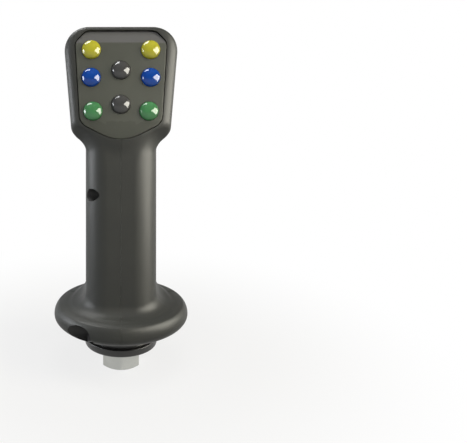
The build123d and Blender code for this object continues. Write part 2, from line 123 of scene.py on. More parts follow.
def roundedOutline(corners, steps=8):
    # closed outline through corners (x, y, radius): each corner becomes an arc of equal steps,
    # tangent to both sides, whose centre lies on the bisector
    outline = []
    count = len(corners)
    for index, (x, y, radius) in enumerate(corners):
        corner = np.array([x, y], float)
        before = np.array(corners[index - 1][:2], float) - corner
        after = np.array(corners[(index + 1) % count][:2], float) - corner
        if radius <= 0:
            outline.append(corner[None])
            continue
        before /= np.linalg.norm(before)
        after /= np.linalg.norm(after)
        half = np.arccos(np.clip(before @ after, -1, 1)) / 2
        bisector = (before + after) / np.linalg.norm(before + after)
        centre = corner + bisector * radius / np.sin(half)
        start = corner + before * radius / np.tan(half) - centre
        end = corner + after * radius / np.tan(half) - centre
        share = np.linspace(0, 1, steps + 1)[:, None]
        opening = pi - 2 * half
        arc = (np.sin((1 - share) * opening) * start + np.sin(share * opening) * end) / np.sin(opening)
        outline.append(centre + arc)
    return np.concatenate(outline)


def turned(name, profile, matrix=uprightFrame, place=(0, 0), columns=96):
    # surface of revolution: (radius, height) points turned about a line along the frame's z axis
    angle = np.linspace(0, 2 * pi, columns, endpoint=False)
    x = place[0] + profile[:, :1] * np.cos(angle)
    y = place[1] + profile[:, :1] * np.sin(angle)
    points = np.stack([x, y, np.repeat(profile[:, 1:], columns, axis=1)], axis=-1)
    if profile[0, 0] > 0:       # a ring: its profile doesn't start on the axis, and closes on itself
        points = np.concatenate([points, points[:1]])
    return meshObject(name, points.reshape(-1, 3), gridFaces(len(points), columns), matrix)


def block(name, outline, start, end, matrix):
    # straight prism of an outline between two heights of a frame, closed by its two end faces
    count = len(outline)
    rings = [np.column_stack([outline, np.full(count, height)]) for height in (start, end)]
    faces = gridFaces(2, count) + [list(range(count)), list(range(count, 2 * count))]
    return meshObject(name, np.concatenate(rings), faces, matrix, weld=False)


def circleOutline(x, y, radius, count=64):
    angle = np.linspace(0, 2 * pi, count, endpoint=False)
    return np.column_stack([x + radius * np.cos(angle), y + radius * np.sin(angle)])


def faceMiddles(piece):
    # the middle of each of its faces, in millimetres
    middles = np.empty(len(piece.data.polygons) * 3)
    piece.data.polygons.foreach_get("center", middles)
    return middles.reshape(-1, 3) / millimetre


def cutAway(piece, cutters):
    # takes the cutters' room out of a piece and deletes them
    for cutter in cutters:
        modifier = piece.modifiers.new("cut", "BOOLEAN")
        modifier.operation = "DIFFERENCE"
        modifier.solver = "EXACT"
        modifier.object = cutter
    bpy.context.view_layer.update()
    view = bpy.context.evaluated_depsgraph_get()
    mesh = bpy.data.meshes.new_from_object(piece.evaluated_get(view))
    piece.modifiers.clear()
    piece.data = mesh
    for cutter in cutters:
        bpy.data.objects.remove(cutter)


def finishPiece(piece, body, material, nodes, sharpFrom=40):
    # smooth shading with sharp edges above an angle, its material, and its place in the frame
    mesh = piece.data
    mesh.polygons.foreach_set("use_smooth", np.ones(len(mesh.polygons), bool))
    mesh.set_sharp_from_angle(angle=radians(sharpFrom))
    mesh.materials.clear()
    mesh.materials.append(material)
    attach(piece, body)
    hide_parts(*nodes)


# Materials

def addNode(tree, kind, settings=None, links=None):
    # one node, its settings by name, and what each input takes: a socket of another node or a value
    node = tree.nodes.new(kind)
    for key, value in (settings or {}).items():
        setattr(node, key, value)
    for key, value in (links or {}).items():
        target = node.inputs[key]
        if isinstance(value, bpy.types.NodeSocket):
            tree.links.new(value, target)
        else:
            target.default_value = value
    return node


def emptyMaterial(name):
    # a material and its node tree, with no node in it yet
    material = bpy.data.materials.new(name)
    material.use_nodes = True
    material.node_tree.nodes.clear()
    return material, material.node_tree


def perMetre(size):
    # texture scale for a pattern whose features are this many millimetres wide
    return 1 / (size * millimetre)


plastic = {
    "driftNoise": (3.0, 0.5),  # detail and roughness of the colour's noise, then the grain's
    "grainNoise": (2.0, 0.6),
    "metallic": 0.0,
    "ior": 1.5,
    "specular": 0.5,
}
metal = {**plastic, "driftNoise": (4.0, 0.6), "grainNoise": (3.0, 0.6), "metallic": 1.0}


def patternedMaterial(name, kind, look):
    # a colour that drifts a little, a sheen that drifts with it, and a fine grain, which a stretch
    # turns into lines
    look = {**kind, **look}
    material, tree = emptyMaterial(name)
    place = addNode(tree, "ShaderNodeTexCoord").outputs["Object"]
    drift = addNode(tree, "ShaderNodeTexNoise", None, {
        "Vector": place,
        "Scale": perMetre(look["driftSize"]),
        "Detail": look["driftNoise"][0],
        "Roughness": look["driftNoise"][1],
    })
    colour = addNode(tree, "ShaderNodeMix", {"data_type": "RGBA"}, {
        0: drift.outputs["Fac"], 6: linearColour(look["dark"]), 7: linearColour(look["light"]),
    })
    if "stretch" in look:
        stretched = addNode(tree, "ShaderNodeMapping", None, {"Vector": place, "Scale": look["stretch"]})
        place = stretched.outputs["Vector"]
    grain = addNode(tree, "ShaderNodeTexNoise", None, {
        "Vector": place,
        "Scale": perMetre(look["grainSize"]),
        "Detail": look["grainNoise"][0],
        "Roughness": look["grainNoise"][1],
    })
    bump = addNode(tree, "ShaderNodeBump", None, {
        "Height": grain.outputs["Fac"],
        "Strength": look["grainStrength"],
        "Distance": look["grainDepth"] * millimetre,
    })
    rough = addNode(tree, "ShaderNodeMapRange", None, {
        "Value": drift.outputs["Fac"], "To Min": look["roughness"][0], "To Max": look["roughness"][1],
    })
    shader = addNode(tree, "ShaderNodeBsdfPrincipled", None, {
        "Base Color": colour.outputs[2],
        "Metallic": look["metallic"],
        "Roughness": rough.outputs["Result"],
        "IOR": look["ior"],
        "Normal": bump.outputs["Normal"],
        "Specular IOR Level": look["specular"],
    })
    addNode(tree, "ShaderNodeOutputMaterial", None, {"Surface": shader.outputs["BSDF"]})
    return material


# Glass-filled nylon from a spark-eroded mould: dull, dark, with an even grain, drawn about five
# times coarser than the real one, which would be too fine to show
casingNylon = patternedMaterial("casingNylon", plastic, {
    "dark": "#303130", "light": "#373835", "driftSize": 22.0,
    "grainSize": 0.7, "grainStrength": 0.35, "grainDepth": 0.05,
    "roughness": (0.40, 0.50), "specular": 0.15,
})
# The same nylon off the mould's long core pins, in the screw holes: duller, and painted near black for the
# shade that falls deep in the holes
paintedShadeNylon = patternedMaterial("paintedShadeNylon", plastic, {
    "dark": "#141413", "light": "#1b1b1a", "driftSize": 6.0,
    "grainSize": 0.5, "grainStrength": 0.1, "grainDepth": 0.03,
    "roughness": (0.5, 0.6), "ior": 1.4,
})
# ABS plate from a finer mould: smoother and a shade lighter than the casing; its upper band, tilted up
# to the light, painted lighter and without the olive tone as a painted highlight, its lower band painted a
# shade darker as painted shade
plateColours = {
    "plateAbs": ("#41433c", "#464841"),
    "paintedLightBandAbs": ("#525252", "#585858"),
    "paintedShadeTipAbs": ("#3a3c35", "#3f413a"),
}
plateAbs, paintedLightBandAbs, paintedShadeTipAbs = [
    patternedMaterial(name, plastic, {
        "dark": dark, "light": light, "driftSize": 18.0,
        "grainSize": 0.5, "grainStrength": 0.2, "grainDepth": 0.03,
        "roughness": (0.36, 0.44), "specular": 0.3,
    })
    for name, (dark, light) in plateColours.items()
]
# Nylon turned and moulded ring: black, a little shinier than the casing
collarNylon = patternedMaterial("collarNylon", plastic, {
    "dark": "#262625", "light": "#2c2c2b", "driftSize": 9.0,
    "grainSize": 0.6, "grainStrength": 0.15, "grainDepth": 0.03,
    "roughness": (0.32, 0.42),
})
# Polished ABS caps: strong even colour under a bright gloss
capColours = {
    "yellow": ("#9f9b26", "#a7a32e"),
    "blue": ("#023788", "#053f92"),
    "green": ("#3c7346", "#437c4e"),
    "grey": ("#3c3c3c", "#424242"),
}
capMaterials = {
    name: patternedMaterial(name + "CapAbs", plastic, {
        "dark": dark, "light": light, "driftSize": 6.0,
        "grainSize": 0.5, "grainStrength": 0.03, "grainDepth": 0.02,
        "roughness": (0.03, 0.05), "specular": 0.36,
    })
    for name, (dark, light) in capColours.items()
}
# The trigger is the same plastic, dark and with a satin shine
triggerAbs = patternedMaterial("triggerAbs", plastic, {
    "dark": "#2b2b2a", "light": "#323231", "driftSize": 6.0,
    "grainSize": 0.5, "grainStrength": 0.05, "grainDepth": 0.02,
    "roughness": (0.22, 0.3),
})
# Moulded rubber: black and dull
sealRubber = patternedMaterial("sealRubber", plastic, {
    "dark": "#161616", "light": "#1c1c1c", "driftSize": 5.0,
    "grainSize": 0.4, "grainStrength": 0.2, "grainDepth": 0.03,
    "roughness": (0.7, 0.8),
})
# Black nylon of the switches' housings
switchNylon = patternedMaterial("switchNylon", plastic, {
    "dark": "#1a1a1a", "light": "#202020", "driftSize": 4.0,
    "grainSize": 0.4, "grainStrength": 0.1, "grainDepth": 0.02,
    "roughness": (0.4, 0.5),
})
# Natural acetal, turned or moulded: cream white and slippery
guideAcetal = patternedMaterial("guideAcetal", plastic, {
    "dark": "#d3d0c6", "light": "#dedbd2", "driftSize": 5.0,
    "grainSize": 0.4, "grainStrength": 0.05, "grainDepth": 0.02,
    "roughness": (0.3, 0.38), "ior": 1.48,
})
# Glass laminate under green solder resist
boardLaminate = patternedMaterial("boardLaminate", plastic, {
    "dark": "#12402a", "light": "#185235", "driftSize": 7.0,
    "grainSize": 0.6, "grainStrength": 0.1, "grainDepth": 0.02,
    "roughness": (0.3, 0.4),
})
# Bright zinc plate over turned steel: pale, with faint lines round the axis
zincSteel = patternedMaterial("zincSteel", metal, {
    "dark": "#a8a9a5", "light": "#c2c3be", "driftSize": 8.0,
    "stretch": (1.0, 1.0, 6.0), "grainSize": 1.5, "grainStrength": 0.25, "grainDepth": 0.03,
    "roughness": (0.28, 0.42),
})
# Blackened steel screws: dark oxide with a soft shine
blackSteel = patternedMaterial("blackSteel", metal, {
    "dark": "#2c2c2d", "light": "#3a3a3b", "driftSize": 3.0,
    "stretch": (4.0, 1.0, 1.0), "grainSize": 0.8, "grainStrength": 0.2, "grainDepth": 0.02,
    "roughness": (0.35, 0.5),
})
# Turned brass of the threaded inserts
insertBrass = patternedMaterial("insertBrass", metal, {
    "dark": "#a88a45", "light": "#c3a55c", "driftSize": 3.0,
    "stretch": (4.0, 1.0, 1.0), "grainSize": 0.8, "grainStrength": 0.2, "grainDepth": 0.02,
    "roughness": (0.25, 0.38),
})

print("materials made")


# Casing: one smooth surface, worked out as the place where a distance field is zero

casing = {
    "columnHalfWidth": 21.0,
    "columnFrontRadius": 13.5,
    "columnEnd": 125.0,               # along its axis, inside the head
    "columnBehindFace": 2.0,          # and its top stays this far behind the face
    "columnEndRadius": 1.0,
    "backRadius": (8.5, 14.0),        # of the edge round the flat back: on the column, on the head
    "backRun": (125.0, 150.0),        # the first turns into the second between these along the axis
    "headHalfWidth": 34.8,            # at the top of the face
    "headSideAngle": 5.2,
    "topDrop": 0.2,                   # of the head's top below the top of the face
    "headCornerRadius": (16.5, 7.0),  # of the two upper corners: at the face, at the depth below
    "headCornerDepth": 40.0,
    "faceEdge": (2.5, 6.0),           # radius of the face's edge: along the top, down the sides
    "faceEdgeRun": (2.0, 16.0),       # between these below the top
    "cheekFoot": 132.4,               # height where the cheek's plane meets the column's side
    "cheekAngle": 42.0,
    "cheekRound": 4.0,
    "facetPlace": (21.5, 127.9),      # flat behind the cheek: across and along, on the flat back
    "facetNormal": (0.439, 0.628, -0.643),
    "facetRound": 4.0,
    "chinDrop": 73.7,                 # sharp tip of the chin's line, below the top of the face
    "chinAngle": 28.9,
    "chinSlope": 0.78,                # drop for each millimetre behind the face
    "chinSoft": 7.0,                  # how far across its tip is rounded
    "chinEdge": 1.6,
    "neckRound": 5.0,
    "restRadius": 40.5,
    "restMiddle": 34.0,
    "restHalf": 7.4,                  # half its thickness
    "rimReach": (13.0, 6.0),          # how far in the rim's round reaches: below, above its middle
    "valley": (33.6, 4.4, 0.75),      # radius of its middle, half its width, its depth
    "flare": (10.0, 5.2, 10.6),       # radius at the sides, in front and behind
    "podHalfWidth": 10.7,
    "podBottom": 101.4,
    "podTop": 125.6,                  # the pod's flat ends here, and its shelf slopes back
    "podRoot": 133.4,                 # to the flat back here
    "podHeight": 11.0,
    "podCorner": 4.5,
    "podEdge": 1.5,
    "podFoot": 0.8,
    "seamDepth": 0.16,
    "seamWidth": 0.07,
    "seamGap": 0.003,
}

casingGrid = {
    # where the rows and columns of the surface lie: close together where the form turns quickly
    "underFan": [-90, -70, -50, -38, -30, -24, -20, -17, -15, -13.5, -12.5],  # degrees, under the rest
    "lowerRimFan": (-12, 0, 17),      # degrees, from and to, and how many
    "upperRimRows": 18,
    "flareRise": 13.0,                # height of the flare's rows above the rest, and how many
    "flareRows": 26,
    "columnRows": (16.0, 86.0, 2.5),  # along the axis: from, to, step
    "neckRows": (86.0, 142.0, 0.7),
    "podEdgeRows": (0.02, 0.3),       # the nearest rows to the pod's lower edge
    "podRows": (5.0, 0.35, 5.4),      # finer rows above it: to, their step, where the others go on
    "topFan": 106,                    # rows from the last level one to straight up
    "leanRun": (4.0, 34.0),           # above the foot: where level rows turn square to the axis
    "seamReach": 22.0,                # distance of the seam from the axis, for its steps
    "seamSteps": (0.5, 1.0),          # columns this far from the seam, beside the one at its width
    "frontColumns": (-86.5, 60.0, 1.1),  # degrees from the side, less than zero in front
    "backColumns": (60.0, 89.0, 0.9),
    "podColumns": [17.8, 18.4, 19.0, 19.6, 20.2, 21.2, 22.2, 23.2, 24.2, 25.2, 25.8, 26.4, 27.0],
    "leastStep": 0.1,
    "reach": (1.0, 80.0, 1.0),        # along each ray: from, to, step of the first search
    "halvings": 22,
}


def smoothShare(value, start, end):
    # 0 before the start, 1 after the end, between them 3 t squared minus 2 t cubed
    share = np.clip((value - start) / (end - start), 0, 1)
    return share * share * (3 - 2 * share)


def meetRound(first, second, radius):
    # what lies inside both fields, with a round edge: minus the radius plus the length of the overlap
    inside = np.minimum(-radius, np.maximum(first, second))
    return inside + np.hypot(np.maximum(first + radius, 0), np.maximum(second + radius, 0))


def joinRound(first, second, radius):
    # what lies inside either field, with a round hollow edge
    outside = np.maximum(radius, np.minimum(first, second))
    return outside - np.hypot(np.maximum(radius - first, 0), np.maximum(radius - second, 0))


def headField(side, behind, along, z, up, out):
    # tapering sides, top, cheeks, flats behind the cheeks, face and chin, each met with its round edge
    taper = radians(casing["headSideAngle"])
    sides = (side - casing["headHalfWidth"] - up * tan(taper)) * cos(taper)
    frontCorner, backCorner = casing["headCornerRadius"]
    corner = frontCorner + (backCorner - frontCorner) * np.clip(-out / casing["headCornerDepth"], 0, 1)
    head = meetRound(sides, up + casing["topDrop"], corner)
    slope = radians(casing["cheekAngle"])
    cheek = (side - casing["columnHalfWidth"]) * sin(slope) - (z - casing["cheekFoot"]) * cos(slope)
    head = meetRound(head, cheek, casing["cheekRound"])
    normal = casing["facetNormal"]
    facet = (
        normal[0] * (side - casing["facetPlace"][0])
        + normal[1] * (behind - gripFrames["backDepth"])
        + normal[2] * (along - casing["facetPlace"][1])
    )
    head = meetRound(head, facet, casing["facetRound"])
    topEdge, sideEdge = casing["faceEdge"]
    edge = topEdge + (sideEdge - topEdge) * smoothShare(-up, *casing["faceEdgeRun"])
    head = meetRound(head, out, edge)
    chinTan = tan(radians(casing["chinAngle"]))
    chinLine = -casing["chinDrop"] + chinTan * np.hypot(side, casing["chinSoft"])
    steepness = sqrt(1 + casing["chinSlope"] ** 2 + chinTan ** 2)
    chin = (chinLine + casing["chinSlope"] * out - up) / steepness
    return meetRound(head, chin, casing["chinEdge"])


def restField(reach, z):
    # half an ellipse round the rim, a flat top and bottom, and the valley sunk in the top
    rimReach = np.where(z < casing["restMiddle"], *casing["rimReach"])
    beyondFlat = np.maximum(reach - casing["restRadius"] + rimReach, 0)
    valleyRadius, valleyHalf, valleyDepth = casing["valley"]
    valley = valleyDepth * np.maximum(1 - ((reach - valleyRadius) / valleyHalf) ** 2, 0) ** 2
    above = z - casing["restMiddle"]
    above = above + np.where(above > 0, valley * above / casing["restHalf"], 0)
    return np.hypot(beyondFlat * casing["restHalf"] / rimReach, above) - casing["restHalf"]


def podField(side, behind, along):
    # the trigger's housing: two sides, a bottom, a flat outer face and a shelf that slopes back
    podOut = behind - gripFrames["backDepth"] - casing["podHeight"]
    pod = meetRound(side - casing["podHalfWidth"], casing["podBottom"] - along, casing["podCorner"])
    pod = meetRound(pod, podOut, casing["podEdge"])
    rise = casing["podRoot"] - casing["podTop"]
    shelf = rise * podOut + casing["podHeight"] * (along - casing["podTop"])
    pod = meetRound(pod, shelf / np.hypot(rise, casing["podHeight"]), casing["podEdge"])
    return np.maximum(pod, -behind)


def casingField(x, behind, along):
    # distance to the casing, less than zero inside; x across, then behind the axis and along it
    side = np.abs(x)
    y = gripFrames["foot"][0] + behind * leanCos + along * leanSin
    z = gripFrames["foot"][1] - behind * leanSin + along * leanCos
    alongY = y - gripFrames["faceTop"][0]
    alongZ = z - gripFrames["faceTop"][1]
    up = alongY * tiltSin + alongZ * tiltCos
    out = -alongY * tiltCos + alongZ * tiltSin

    # column: two sides and a front with wide round corners, joined to the head and cut by the back
    front = -behind - gripFrames["backDepth"]
    column = meetRound(side - casing["columnHalfWidth"], front, casing["columnFrontRadius"])
    columnEnd = np.maximum(along - casing["columnEnd"], out + casing["columnBehindFace"])
    column = meetRound(column, columnEnd, casing["columnEndRadius"])
    grip = joinRound(headField(side, behind, along, z, up, out), column, casing["neckRound"])
    columnBack, headBack = casing["backRadius"]
    backEdge = columnBack + (headBack - columnBack) * smoothShare(along, *casing["backRun"])
    grip = meetRound(grip, behind - gripFrames["backDepth"], backEdge)

    # hand rest, and the flare between it and the column: its radius goes from the side's to the
    # front's or the back's by 1 minus the fourth power of the cosine of the turn
    reach = np.hypot(x, y)
    rest = restField(reach, z)
    turn = 1 - (1 - np.clip(y / np.maximum(reach, 1e-6), -1, 1) ** 2) ** 2
    sideFlare, frontFlare, backFlare = casing["flare"]
    flare = sideFlare + np.where(y > 0, backFlare - sideFlare, frontFlare - sideFlare) * turn
    grip = np.where(z < casing["restMiddle"], rest, joinRound(grip, rest, flare))
    return joinRound(grip, podField(side, behind, along), casing["podFoot"])


def casingRows():
    # rays of each row of the surface: y and z of their start, how far they lean, how far they rise
    grid = casingGrid
    foot = gripFrames["foot"]
    underFan = np.concatenate([grid["underFan"], np.linspace(*grid["lowerRimFan"])])
    rimShare = np.linspace(0, 1, grid["upperRimRows"])[1:]
    rim = casing["restMiddle"] + casing["restHalf"] * (1 - (1 - rimShare) ** 2)
    flareRows = rim[-1] + grid["flareRise"] * np.linspace(0, 1, grid["flareRows"])[1:] ** 2
    neckStart, neckEnd, neckStep = grid["neckRows"]
    closest, near = grid["podEdgeRows"]
    podReach, podStep, podPast = grid["podRows"]
    pod = casing["podBottom"]
    along = np.concatenate([
        np.arange(*grid["columnRows"]),
        np.arange(neckStart, pod - near, neckStep),
        [pod - closest, pod + closest],
        np.arange(pod + near, pod + podReach, podStep),
        np.arange(pod + podPast, neckEnd, neckStep),
    ])
    topFan = np.linspace(0, 90, grid["topFan"])[1:]
    heights = np.concatenate([
        np.full(len(underFan), casing["restMiddle"]),
        rim,
        flareRows,
        foot[1] + along * leanCos,
        np.full(len(topFan), foot[1] + along[-1] * leanCos),
    ])
    level = np.zeros(len(heights) - len(underFan) - len(topFan))
    rise = np.concatenate([underFan, level, topFan])
    middle = foot[0] + np.maximum(heights - foot[1], 0) * leanSin / leanCos
    runStart, runEnd = grid["leanRun"]
    lean = radians(gripFrames["lean"]) * smoothShare(heights, foot[1] + runStart, foot[1] + runEnd)
    return middle, heights, lean, np.radians(rise)


def casingColumns():
    # turn of each column of the surface round the axis, from the front seam to the back one
    grid = casingGrid
    seam = np.degrees(np.array([0, casing["seamWidth"], *grid["seamSteps"]]) / grid["seamReach"])
    backStart, backEnd, backStep = grid["backColumns"]
    angles = np.unique(np.round(np.concatenate([
        -90 + seam,
        np.arange(*grid["frontColumns"]),
        np.arange(backStart, backEnd - seam[-1], backStep),
        90 - np.array(grid["podColumns"]),
        90 - seam,
    ]), 3))
    return np.radians(angles[np.concatenate([[True], np.diff(angles) > grid["leastStep"]])])


def casingHalf(name, sign):
    # each point is the first place along its ray where the field changes sign: found in steps, then
    # by halving the step it lies in
    turn = casingColumns()
    middle, heights, leans, rises = casingRows()
    shape = (len(heights), len(turn))
    directionX = np.cos(rises)[:, None] * np.cos(turn)
    across = np.cos(rises)[:, None] * np.sin(turn)
    directionY = across * np.cos(leans)[:, None] + (np.sin(rises) * np.sin(leans))[:, None]
    directionZ = -across * np.sin(leans)[:, None] + (np.sin(rises) * np.cos(leans))[:, None]

    def fieldAt(length):
        x = length * directionX
        y = middle[:, None] + length * directionY - gripFrames["foot"][0]
        z = heights[:, None] + length * directionZ - gripFrames["foot"][1]
        return casingField(x, y * leanCos - z * leanSin, y * leanSin + z * leanCos)

    nearest, farthest, step = casingGrid["reach"]
    near = np.full(shape, nearest)
    far = np.full(shape, farthest)
    found = np.zeros(shape, bool)
    for length in np.arange(nearest + step, farthest, step):
        outside = (fieldAt(np.full(shape, length)) > 0) & ~found
        far[outside] = length
        found |= outside
        near[~found] = length
    for halving in range(casingGrid["halvings"]):
        half = (near + far) / 2
        outside = fieldAt(half) > 0
        far = np.where(outside, half, far)
        near = np.where(outside, near, half)
    length = (near + far) / 2
    length[1:-1, [0, -1]] -= casing["seamDepth"]
    x = np.maximum(length * directionX, 0) + casing["seamGap"]
    y = middle[:, None] + length * directionY
    z = heights[:, None] + length * directionZ
    points = np.stack([sign * x, y, z], axis=-1).reshape(-1, 3)
    return meshObject(name, points, gridFaces(*shape))


# Openings of the casing: plate, trigger and the five screw holes on the left

faceplate = {
    "top": 3.1,               # below the top of the face
    "halfWidth": 26.9,
    "cornerCut": 7.0,         # of the upper corners: down, in
    "cornerIn": 6.3,
    "sideAngle": 3.6,
    "shoulder": 58.3,
    "tip": 70.5,
    "tipRadius": 24.0,
    "cornerRadii": (6.5, 6.0, 8.0),
    "gap": 0.45,              # between the plate and the casing
    "ledge": 3.0,             # width of its seat, and the depth
    "ledgeDepth": 3.9,
    "roomFront": 6.0,         # the plate's room starts this far in front of the face
    "roomDepth": 15.0,        # and the switches' room ends this far behind it
    "setBack": 0.3,
    "thickness": 2.6,
    "bend": 1.5,              # how far the two bands fall back
    "upperBand": 10.4,        # the creases, below the top of the face
    "lowerBand": 57.2,
    "creaseSoft": (0.8, 1.2),
    "edge": 0.3,
    "backInset": 0.6,         # of the middle of the back, for its flat
    "middle": (0, -34.0),
    "flatRings": 45,
    "edgeRings": 6,
    "capHole": 5.7,
    "holeEdge": 0.1,
    "holeReach": (1.0, 5.0),  # the holes' cutters go from this far in front to this far behind
}

triggerHole = {"along": 114.5, "radius": 6.05, "from": -16.0, "to": 14.0}

shellHoles = [
    # y, z, radius, x of the seat that the screw's head rests on
    (-31.3, 33.5, 5.2, -15.0),
    (31.3, 33.5, 5.2, -15.0),
    (50.0, 186.71, 5.2, -19.0),
    (-0.12, 107.8, 3.7, -9.0),
    (40.52, 128.48, 3.7, -9.0),
]
beyondCasing = 60.0         # where the screw holes' cutters start, well outside the grip
wellReach = 1.005           # a face belongs to a screw hole up to this share of its radius


def plateOutline(grow, steps=10):
    # the plate's outline with its corners rounded, each point moved outwards by a distance
    plate = faceplate
    drop = plate["shoulder"] - plate["top"] - plate["cornerCut"]
    lowerX = plate["halfWidth"] - drop * tan(radians(plate["sideAngle"]))
    right = [
        (plate["halfWidth"] - plate["cornerIn"], -plate["top"], plate["cornerRadii"][0]),
        (plate["halfWidth"], -plate["top"] - plate["cornerCut"], plate["cornerRadii"][1]),
        (lowerX, -plate["shoulder"], plate["cornerRadii"][2]),
        (0, -plate["tip"], plate["tipRadius"]),
    ]
    left = [(-x, y, radius) for x, y, radius in reversed(right[:-1])]
    outline = roundedOutline(right + left, steps)
    along = np.roll(outline, -1, axis=0) - np.roll(outline, 1, axis=0)
    outwards = np.column_stack([-along[:, 1], along[:, 0]]) / np.linalg.norm(along, axis=1)[:, None]
    return outline + outwards * grow


def casingOpenings(sign):
    plate, hole = faceplate, triggerHole
    triggerOutline = circleOutline(0, hole["along"], hole["radius"])
    openings = [
        block("plateRoom", plateOutline(plate["gap"]), -plate["ledgeDepth"], plate["roomFront"], faceFrame),
        block("switchRoom", plateOutline(-plate["ledge"]), -plate["roomDepth"], 0.0, faceFrame),
        block("triggerRoom", triggerOutline, hole["from"], hole["to"], backFrame),
    ]
    if sign < 0:
        openings += [
            block("screwRoom", circleOutline(y, z, radius), -beyondCasing, seat, sideFrame)
            for y, z, radius, seat in shellHoles
        ]
    return openings


def paintWellShade(half):
    # the screw holes' walls are the faces whose middle lies within reach of a hole's axis; they get painted
    # shade, the near-black nylon
    middles = faceMiddles(half)
    inWell = np.zeros(len(middles), int)
    for y, z, radius, seat in shellHoles:
        inWell |= (np.hypot(middles[:, 1] - y, middles[:, 2] - z) < radius * wellReach).astype(int)
    half.data.materials.append(paintedShadeNylon)
    half.data.polygons.foreach_set("material_index", inWell)


for side, sign in (("left", -1), ("right", 1)):
    half = casingHalf(side + "Casing", sign)
    cutAway(half, casingOpenings(sign))
    finishPiece(half, "grip", casingNylon, [side + "_shell"], sharpFrom=34)
    if sign < 0:
        # painted shade in the left half's screw holes
        paintWellShade(half)
    print(side, "casing made with", len(half.data.polygons), "faces")


# Faceplate: flat between its two bands that fall back, with a rounded edge and eight holes

buttonPlaces = {
    "yellow_left": (-17.4, -14.5),
    "yellow_right": (17.4, -14.5),
    "blue_left": (-17.4, -31.1),
    "blue_right": (17.4, -31.1),
    "green_left": (-16.3, -51.2),
    "green_right": (16.3, -51.2),
    "grey_upper": (0.0, -26.8),
    "grey_lower": (0.0, -47.2),
}


def softRamp(value, start, end, soft):
    # 0 before start, 1 at end, straight between with soft corners: a difference of two soft ramps
    def part(at):
        return (value - at + np.hypot(value - at, soft)) / 2
    return (part(start) - part(end)) / (end - start)


def plateSurface():
    # rings from the middle to the outline, over its quarter-round edge and in across the back; the
    # height is the soft ramps of the two bands
    plate = faceplate
    outline = plateOutline(0, steps=14)
    middle = np.array(plate["middle"])
    spokes = outline - middle
    length = np.linalg.norm(spokes, axis=1)[:, None]
    quarter = np.linspace(0, pi / 2, plate["edgeRings"])
    flat = np.linspace(0, 1, plate["flatRings"] + 1)[:-1]
    backRings = [0, plate["backInset"]]
    share = np.concatenate([flat, np.ones(len(quarter) + len(backRings))])
    inset = np.concatenate([np.ones(len(flat)), 1 - np.sin(quarter), np.zeros(2)]) * plate["edge"]
    inset[-2:] = backRings
    drop = np.concatenate([np.zeros(len(flat)), 1 - np.cos(quarter), np.zeros(2)]) * plate["edge"]
    rings = middle + spokes * (share[:, None, None] * (1 - inset[:, None, None] / length))
    upperSoft, lowerSoft = plate["creaseSoft"]
    fall = softRamp(rings[..., 1], -plate["upperBand"], -plate["top"], upperSoft)
    fall += softRamp(-rings[..., 1], plate["lowerBand"], plate["tip"], lowerSoft)
    height = -plate["setBack"] - plate["bend"] * fall - drop[:, None]
    height[-2:] = -plate["setBack"] - plate["thickness"]
    points = np.concatenate([rings, height[..., None]], axis=-1)
    backMiddle = np.full((1, len(outline), 3), [*plate["middle"], height[-1, 0]])
    points = np.concatenate([points, backMiddle])
    return meshObject("panelPlate", points.reshape(-1, 3), gridFaces(*points.shape[:2]), faceFrame)


def paintedLightBands(plate):
    # 1 for each face whose middle lies above the upper crease, 2 below the lower one, 0 between them: the
    # bands that get painted light and painted shade
    up = (faceMiddles(plate)[:, 1:] - gripFrames["faceTop"]) @ (tiltSin, tiltCos)
    return np.where(up > -faceplate["upperBand"], 1, np.where(up < -faceplate["lowerBand"], 2, 0))


def holeProfile():
    # from the front down the hole's chamfered lip and its wall; all of it is cut away
    plate = faceplate
    front, behind = plate["holeReach"]
    lip = plate["capHole"] + plate["holeEdge"]
    return np.array([
        (0, front),
        (lip + front + plate["setBack"], front),
        (plate["capHole"], -plate["setBack"] - plate["holeEdge"]),
        (plate["capHole"], -behind),
        (0, -behind),
    ])


panelPlate = plateSurface()
cutAway(panelPlate, [
    turned("capRoom", holeProfile(), faceFrame, place, columns=72) for place in buttonPlaces.values()
])
finishPiece(panelPlate, "grip", plateAbs, ["faceplate"], sharpFrom=30)
# the upper band's painted highlight material and the lower band's painted shade material
for band in (paintedLightBandAbs, paintedShadeTipAbs):
    panelPlate.data.materials.append(band)
panelPlate.data.polygons.foreach_set("material_index", paintedLightBands(panelPlate))
print("faceplate made")


# Button caps: domes on a short barrel, with the flange and stem behind the plate

buttonCap = {
    "radius": 5.6,
    "dome": 3.6,             # height above its foot, where all heights start
    "flangeRadius": 6.2,
    "flange": (-3.2, -4.4),  # heights of its two faces
    "stemRadius": 1.8,
    "stemEnd": -11.1,
    "domeRows": 25,
}


def stemProfile(cap):
    # down the barrel, round the flange and along the stem to its end
    front, behind = cap["flange"]
    return np.array([
        (cap["radius"], front),
        (cap["flangeRadius"], front),
        (cap["flangeRadius"], behind),
        (cap["stemRadius"], behind),
        (cap["stemRadius"], cap["stemEnd"]),
        (0, cap["stemEnd"]),
    ])


def capProfile():
    # the dome, a quarter of an ellipse from its top to the barrel, and the rest
    cap = buttonCap
    angle = np.linspace(0, pi / 2, cap["domeRows"])
    dome = np.column_stack([cap["radius"] * np.sin(angle), cap["dome"] * np.cos(angle)])
    return np.concatenate([dome, stemProfile(cap)]) - (0, faceplate["setBack"])


for name, place in buttonPlaces.items():
    colour = name.split("_")[0]
    cap = turned("cap_" + name, capProfile(), faceFrame, place)
    finishPiece(cap, name, capMaterials[colour], ["button_" + name])
print("button caps made")


# Trigger: a flat round button with a soft rim

triggerCap = {
    "radius": 5.75,
    "top": 13.4,          # above the flat back, like the other heights
    "rim": 0.9,
    "crown": 0.35,        # drop of the top from its middle to the rim
    "flangeRadius": 6.0,  # as wide as the drawn hole lets it be
    "flange": (4.7, 3.5),
    "stemRadius": 2.0,
    "stemEnd": -5.0,
    "crownRows": 14,
    "rimRows": 9,
}


